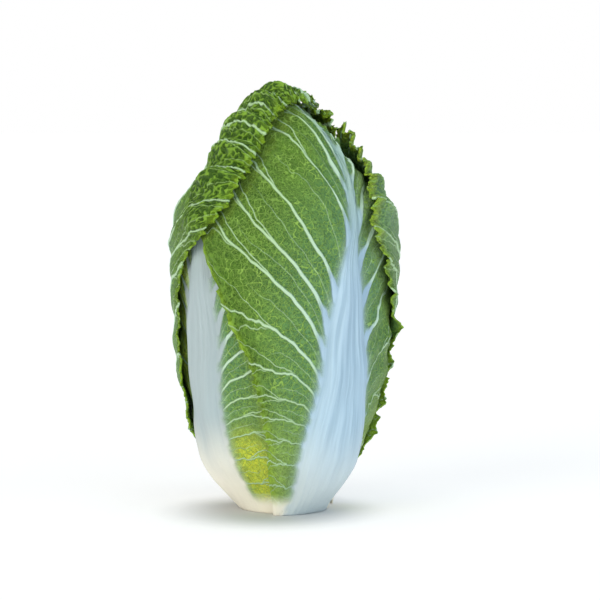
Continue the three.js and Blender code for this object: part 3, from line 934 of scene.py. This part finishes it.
def yellowOf(leaf, grid):
    # how yellow the blade is, from 0 to 1
    climb, fromRib, exposed = grid.rowClimb, grid.fromRib, grid.exposed
    yellow = 0.12 * (1 - exposed) + 0.25 * smooth(75, 20, climb)
    band = smooth(24, 12, fromRib) * between(climb, 25, 50, 180, 215)
    yellow = np.maximum(yellow, leaf["yellowBand"] * band * (grid.side == 0)[None, :])
    if leaf["yellowPatch"] is not None:
        patchClimb, patchOut, patchSize = leaf["yellowPatch"]
        away = np.hypot((grid.climb - patchClimb) / 1.6, (fromRib - patchOut)) / patchSize
        patch = np.where(grid.side[None, :] == 1, smooth(1.1, 0.35, away), 0)
        yellow = np.maximum(yellow, patch)
    paleEdge = leaf["edgeYellow"] * exposed * smooth(15, 3, grid.fromEdge) * smooth(110, 170, climb)
    return np.maximum(yellow, paleEdge)


def placesOf(mesh):
    place = np.empty(len(mesh.vertices) * 3)
    mesh.vertices.foreach_get("co", place)
    return place.reshape(-1, 3)


def store(mesh, name, spot, values):
    kept = mesh.attributes.new(name, "FLOAT_VECTOR", "POINT")
    stacked = np.stack(np.broadcast_arrays(*values), axis=-1)[spot]
    kept.data.foreach_set("vector", stacked.ravel())


def thicken(piece, thick):
    # a wall inwards, as thick as each vertex says
    most = float(thick.max())
    steps = fine["weightSteps"]
    group = piece.vertex_groups.new(name="thickness")
    levels = np.rint(thick / most * steps)
    for level in np.unique(levels):
        chosen = np.nonzero(levels == level)[0]
        group.add(chosen.tolist(), float(level / steps), "REPLACE")
    solid = piece.modifiers.new("leafThickness", "SOLIDIFY")
    solid.thickness = most
    solid.offset = -1
    solid.vertex_group = "thickness"
    solid.use_even_offset = False
    bpy.ops.object.modifier_apply(modifier="leafThickness")
    piece.vertex_groups.clear()


def makeLeaf(leaf):
    seed = leaf["turn"] * fine["seedStep"]
    grid = fineLayout(leaf, seed)
    climb, beyond, exposed = grid.rowClimb, grid.beyond, grid.exposed
    upRows = blendTable(np.arange(leaf["rows"]), grid.index[:, 0])
    inside = upRows @ leaf["inside"] @ blendTable(leaf["shares"], grid.shares).T
    flat = pointAt(grid.turn, grid.climb, inside)
    lines = veinLines(leaf, grid, flat, seed)
    ridge, onBlade = veinRidges(grid, lines)
    net, ruffle = netting(leaf, grid, flat, seed)
    netRidge = 1 - smooth(*fine["netLine"], net)
    waves, givenUp = edgeWaves(leaf, grid, seed)
    inside = inside + waves - givenUp

    thins = smooth(*fine["edgeThins"], beyond)
    blade = build["thickness"] + (fine["edgeThickness"] - build["thickness"]) * thins
    foot = smooth(*build["footClimb"], climb)
    relief = exposed * foot * (fine["veinRidge"] * ridge + fine["netLow"] * netRidge * onBlade)
    relief = relief + foot * ruffle * fine["netDepth"] * netRidge + exposed * ribGrooves(grid, seed)
    wall = blade + ribRise(leaf, grid)
    point = pointAt(grid.turn, grid.climb, inside + wall + relief) * mm

    rows, columns = point.shape[:2]
    piece = added(f"leaf_{leaf['name']}", bpy.ops.mesh.primitive_grid_add, x_subdivisions=columns - 1,
                  y_subdivisions=rows - 1, size=2, location=(0, 0, 0))
    mesh = piece.data
    place = placesOf(mesh)
    column = np.rint((place[:, 0] + 1) / 2 * (columns - 1)).astype(int)
    row = np.rint((place[:, 1] + 1) / 2 * (rows - 1)).astype(int)
    spot = (row, column)
    mesh.vertices.foreach_set("co", point[spot].ravel())

    # painted shade: exposed edges darker high up, and the sunken cells of the puffed flap darker between the
    # net's lines
    darkness = exposed * smooth(0.55, 1.0, beyond) * smooth(110, 180, climb) * leaf["edgePaintedShade"]
    darkness = np.maximum(darkness, ruffle * smooth(0.12, 0.75, net))
    phase, forkUp, forkDown, spacing = lines
    store(mesh, "veins", spot, (phase, forkUp, forkDown))
    store(mesh, "bladePlace", spot, (grid.fromRib, grid.fromEdge, spacing))
    store(mesh, "ribPlace", spot, (grid.onRib * grid.sign, climb, beyond))
    store(mesh, "shade", spot, (exposed, darkness, yellowOf(leaf, grid)))
    store(mesh, "netting", spot, (net, ruffle, np.zeros_like(net)))
    thicken(piece, ((wall + relief * 0.5) * mm)[spot])
    bpy.ops.object.shade_smooth()
    apply(piece)
    return piece


# leaf materials; four numbers give a range and what it becomes
leafLook = {
    # the darkest green is both the fine dark crumb and painted shade
    "darkCrumbAndPaintedShade": (0.014, 0.046, 0.003),
    "cellGreen": (0.046, 0.130, 0.006),
    "cellLight": (0.100, 0.235, 0.016),
    "cellLow": (0.27, 0.42, 0.07),
    "flapGreen": (0.030, 0.110, 0.002),
    "flapLine": (0.25, 0.45, 0.04),
    # painted cool light on the right side of the head
    "paintedCoolLight": (0.26, 0.44, 0.33),
    "cellBlue": (0.12, 0.30, 0.155),
    "cellYellow": (0.74, 0.80, 0.06),
    "edge": (0.33, 0.54, 0.015),
    "veinGreen": (0.31, 0.52, 0.09),
    "veinPale": (0.47, 0.68, 0.38),
    "veinWhite": (0.57, 0.77, 0.60),
    "ribWhite": (0.50, 0.67, 0.80),
    "ribShade": (0.35, 0.50, 0.62),
    # painted warm light on the ribs on the left of the head
    "ribPaintedWarmLight": (0.41, 0.47, 0.46),
    "ribTop": (0.42, 0.60, 0.46),
    "base": (0.98, 0.93, 0.80),
    # painted cool shade on the right of the cream base
    "basePaintedCoolShade": (0.64, 0.72, 0.74),
}
pattern = {
    "wobble": (90.0, 0.07),  # noise scale, and share of a vein gap
    "mainWidth": (0.0, 85.0, 1.45, 0.75),  # mm from the rib, then half widths in mm
    "mainWidthLow": (50.0, 125.0, 0.42, 1.0),
    "mainSoft": 0.6,
    "veinSoft": 0.45,
    "upWidth": (0.3, 1.0, 0.6, 0.35),
    "upFade": (0.3, 0.42),
    "downWidth": 0.42,
    "downFade": (0.5, 0.62),
    "halfVein": (0.52, 0.3),  # where between two veins, and its half width
    "halfFade": (0.7, 0.35),
    "forkShares": (0.85, 0.75, 0.6),
    "nets": [  # scale of the cells, width of their lines, patches where they show
        (185.0, (0.085, 0.02), (0.38, 0.62, 0.2, 0.85)),
        (420.0, (0.16, 0.03), (0.65, 0.35, 0.3, 0.65)),
        (900.0, (0.22, 0.03), (0.0, 1.0, 0.25, 0.25)),
    ],
    "netWarp": (170.0, 0.005),
    "cloud": (30.0, 5.0, 0.62),  # noise scale, detail, roughness
    "crumb": (420.0, 3.0, 0.6),
    "patches": (70.0, 2.0),
    "paintedCoolRight": (0.03, 0.075),  # metres; where the painted cool light on the right side of the head comes in
    # x in metres where the ribs take on the painted warm light
    "paintedWarmLeft": (0.0, -0.045, 0.0, 0.75),
    # x in metres where the base takes on its painted cool shade
    "paintedShadeRightOfBase": (-0.022, 0.0),
    "rim": (9.0, 0.5),
    "ribSide": (3.0, -2.4),
    "ribEnds": (316.0, 285.0),
    "flare": (4.2, 0.3),
    "flareReach": (70.0, 135.0, 1.5, 8.0),
    "stripes": (1.5, 3.0, 0.5),
    "stripesAcross": 4.2,
    "stripesUp": 0.008,
    "bump": (0.9, 0.0016),
    "roughness": (0.3, 0.7, 0.42, 0.58),
    "specular": 0.22,
}


def veinPaint(given, wobble):
    beyond, climb, phase = given.beyond, given.climb, given.phase

    def vein(line, halfWidth, softness=pattern["veinSoft"]):
        shifted = plus(plus(line, wobble), 0.5)
        away = sums("ABSOLUTE", less(sums("FRACT", shifted), 0.5))
        away = times(away, given.spacing)
        inside = sums("DIVIDE", less(halfWidth, away), softness)
        return sums("ADD", inside, 0.5, clamp=True), away

    wide = ranged(given.fromRib, *pattern["mainWidth"])
    wide = times(wide, ranged(climb, *pattern["mainWidthLow"]))
    mainVein, mainAway = vein(phase, wide, pattern["mainSoft"])
    upVein, _ = vein(given.forkUp, ranged(beyond, *pattern["upWidth"]))
    downVein, _ = vein(given.forkDown, pattern["downWidth"])
    between, halfWidth = pattern["halfVein"]
    halfVein, _ = vein(plus(phase, between), halfWidth)
    forks = 0.0
    fades = (pattern["upFade"], pattern["downFade"], pattern["halfFade"])
    for line, fade, share in zip((upVein, downVein, halfVein), fades, pattern["forkShares"]):
        forks = larger(forks, times(times(line, ranged(beyond, *fade)), share))
    return mainVein, mainAway, forks


def netPaint(given, body, patchy):
    warpScale, warpReach = pattern["netWarp"]
    warpNoise = addNode("ShaderNodeTexNoise", {"Vector": body, "Scale": warpScale})
    warp = addNode("ShaderNodeVectorMath", operation="MULTIPLY_ADD")
    feed(warp.inputs[0], warpNoise.outputs["Color"])
    feed(warp.inputs[1], (warpReach, warpReach, warpReach))
    feed(warp.inputs[2], body)
    net, ruffle = 0.0, given.ruffle
    for scale, line, patches in pattern["nets"]:
        sockets = {"Vector": warp.outputs[0], "Scale": scale}
        cells = addNode("ShaderNodeTexVoronoi", sockets, feature="DISTANCE_TO_EDGE")
        lines = ranged(cells.outputs["Distance"], *line)
        net = larger(net, times(lines, ranged(patchy, *patches)))
    net = times(net, less(1.0, times(ruffle, 0.65)))
    return larger(net, times(ranged(given.netEdge, 0.55, 0.1), times(ruffle, 0.8)))


def cellPaint(look, given, cloud, crumb):
    # the green between the veins
    climb = given.climb
    # painted cool light: the right side of the head turns paler and bluer by its x position
    paintedCoolRight = ranged(given.across, *pattern["paintedCoolRight"])
    paintedCoolRight = times(paintedCoolRight, ranged(climb, 90.0, 180.0))
    onFlap = times(given.ruffle, less(1.0, paintedCoolRight))
    dark = times(given.darkness, less(1.0, times(paintedCoolRight, 0.75)))
    rim = ranged(given.fromEdge, *pattern["rim"])
    return layered(look["cellGreen"], look, (
        (ranged(cloud, 0.32, 0.7), "cellLight"),
        (ranged(climb, 100.0, 22.0, 0.0, 0.6), "cellLow"),
        (ranged(given.fromRib, 62.0, 2.0, 0.0, 0.8), "cellBlue"),
        (times(onFlap, 0.85), "flapGreen"),
        (times(paintedCoolRight, 0.7), "paintedCoolLight"),
        # painted shade in the flap's pits and on high edges, weaker on the right
        (times(dark, ranged(cloud, 0.75, 0.3, 0.45, 1.0)), "darkCrumbAndPaintedShade"),
        (given.yellow, "cellYellow"),
        (times(rim, ranged(cloud, 0.3, 0.6, 0.4, 0.95)), "edge"),
        (ranged(crumb, 0.42, 0.68, 0.0, 0.42), "darkCrumbAndPaintedShade"),
    ))


def bladePaint(look, given, cellColour, net, forks, mainVein):
    climb, fromRib, ruffle = given.climb, given.fromRib, given.ruffle
    netColour = mixed(ruffle, look["veinGreen"], look["flapLine"])
    forkColour = mixed(times(ruffle, 0.7), look["veinPale"], look["flapLine"])
    mainColour = layered(look["veinWhite"], look, (
        (ranged(fromRib, 4.0, 60.0), "veinPale"),
        (ranged(climb, 110.0, 60.0), "veinPale"),
    ))
    colour = mixed(forks, mixed(net, cellColour, netColour), forkColour)
    return layered(mixed(mainVein, colour, mainColour), look, (
        (ranged(fromRib, 8.0, 0.0, 0.0, 0.5), "ribTop"),
        (ranged(climb, 15.0, 4.0), "base"),
    ))


def ribPaint(look, given):
    climb, across = given.climb, given.across
    sockets = {"X": times(given.onRib, pattern["stripesAcross"]), "Y": times(climb, pattern["stripesUp"])}
    place = addNode("ShaderNodeCombineXYZ", sockets)
    stripes = noise(place.outputs[0], *pattern["stripes"])
    colour = layered(look["ribShade"], look, (
        (ranged(stripes, 0.3, 0.7), "ribWhite"),
        # painted warm light on the ribs on the left of the head
        (ranged(across, *pattern["paintedWarmLeft"]), "ribPaintedWarmLight"),
        (ranged(climb, 150.0, 270.0, 0.0, 0.75), "ribTop"),
    ))
    # the cream base gets painted cool shade on the right of the head
    baseColour = mixed(ranged(across, *pattern["paintedShadeRightOfBase"]), look["base"], look["basePaintedCoolShade"])
    return mixed(ranged(climb, 66.0, 10.0, 0.0, 0.97), colour, baseColour), stripes


def leafMaterial(name, look):
    material, skin, body = newMaterial(name)
    given = SimpleNamespace(across=partsOf(body)[0])
    for attribute, names in (("veins", ("phase", "forkUp", "forkDown")),
                             ("bladePlace", ("fromRib", "fromEdge", "spacing")),
                             ("ribPlace", ("onRib", "climb", "beyond")),
                             ("shade", ("exposed", "darkness", "yellow")),
                             ("netting", ("netEdge", "ruffle"))):
        vars(given).update(zip(names, attributeParts(attribute)))
    climb = given.climb
    wobbleScale, wobbleShare = pattern["wobble"]
    wobble = times(less(noise(body, wobbleScale, 1.0), 0.5), wobbleShare)
    patchy = noise(body, *pattern["patches"])
    cloud = noise(body, *pattern["cloud"])
    crumb = noise(body, *pattern["crumb"])
    mainVein, mainAway, forks = veinPaint(given, wobble)
    net = netPaint(given, body, patchy)
    cellColour = cellPaint(look, given, cloud, crumb)
    bladeColour = bladePaint(look, given, cellColour, net, forks, mainVein)
    ribColour, stripes = ribPaint(look, given)

    flare = ranged(mainAway, *pattern["flare"])  # the rib runs out along each main vein
    flare = times(flare, ranged(climb, *pattern["flareReach"]))
    ribEdge = plus(given.fromRib, times(wobble, 14.0))
    ribMask = ranged(less(ribEdge, flare), *pattern["ribSide"])
    ribMask = times(ribMask, ranged(climb, *pattern["ribEnds"]))
    feed(skin.inputs["Base Color"], mixed(ribMask, bladeColour, ribColour))

    height = plus(larger(mainVein, larger(forks, net)), times(crumb, 0.5))
    height = plus(height, times(patchy, 1.2))
    bladeOnly = times(less(1.0, ribMask), ranged(climb, 6.0, 24.0))
    height = times(height, bladeOnly)
    height = plus(height, times(times(stripes, ribMask), 0.8))
    bumped(skin, height, *pattern["bump"])
    feed(skin.inputs["Roughness"], ranged(cloud, *pattern["roughness"]))
    feed(skin.inputs["Specular IOR Level"], pattern["specular"])
    return material


outerLook = leafMaterial("crinkledGreenLeaf", leafLook)
innerLook = leafMaterial("paleInnerLeaf", {
    **leafLook,
    "darkCrumbAndPaintedShade": (0.25, 0.33, 0.08),
    "cellGreen": (0.36, 0.46, 0.12),
    "cellLight": (0.52, 0.58, 0.2),
    "cellBlue": (0.55, 0.62, 0.3),
    "cellYellow": (0.66, 0.66, 0.24),
    "veinGreen": (0.66, 0.7, 0.42),
})

for leaf in leaves:
    piece = makeLeaf(leaf)
    piece.data.materials.append(innerLook if leaf["inner"] else outerLook)
    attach(piece, "root")
    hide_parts(leaf["name"])
print("cabbage: fine leaves")


# heart with its cut stem
heartPiece = {
    "segments": 144,
    "rings": 120,
    "cutShare": 0.06,  # of the way up the first shape, for the flat cut
    "leaf": (0.62, 0.66, 0.3),
    "leafPale": (0.78, 0.79, 0.55),
    "cutCream": (0.80, 0.74, 0.56),
    "cutBrown": (0.42, 0.27, 0.12),
    "cloud": (45.0, 4.0, 0.6),
    "stains": (160.0, 5.0, 0.65),
    "grain": (240.0, 4.0, 0.6),
    "cutHeight": (0.012, 0.002),  # metres
    "bump": (0.5, 0.0006),
    "roughness": 0.55,
}
heart = added("heart_and_stem", bpy.ops.mesh.primitive_uv_sphere_add, segments=heartPiece["segments"],
              ring_count=heartPiece["rings"], radius=1)
place = placesOf(heart.data)
turn = np.degrees(np.arctan2(place[:, 0], -place[:, 1]))
turn = np.where(turn < 0, turn + 360, turn)
upShare = 1 - np.arccos(np.clip(place[:, 2], -1, 1)) / math.pi
cut = heartPiece["cutShare"]
climb = np.maximum(0, (upShare - cut) / (1 - cut)) * crownTop
reach = heartSurface(turn, climb) * np.minimum(upShare / cut, 1)
heart.data.vertices.foreach_set("co", (pointAt(turn, climb, reach) * mm).ravel())
bpy.ops.object.shade_smooth()
apply(heart)

heartSkin, skin, body = newMaterial("paleHeart")
cloud = noise(body, *heartPiece["cloud"])
leafTone = mixed(ranged(cloud, 0.3, 0.7), heartPiece["leaf"], heartPiece["leafPale"])
stains = ranged(noise(body, *heartPiece["stains"]), 0.52, 0.75)
cutTone = mixed(stains, heartPiece["cutCream"], heartPiece["cutBrown"])
tone = mixed(ranged(partsOf(body)[2], *heartPiece["cutHeight"]), leafTone, cutTone)
feed(skin.inputs["Base Color"], tone)
feed(skin.inputs["Roughness"], heartPiece["roughness"])
bumped(skin, noise(body, *heartPiece["grain"]), *heartPiece["bump"])
heart.data.materials.append(heartSkin)
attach(heart, "root")
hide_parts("heart")
print("cabbage: heart and stem")
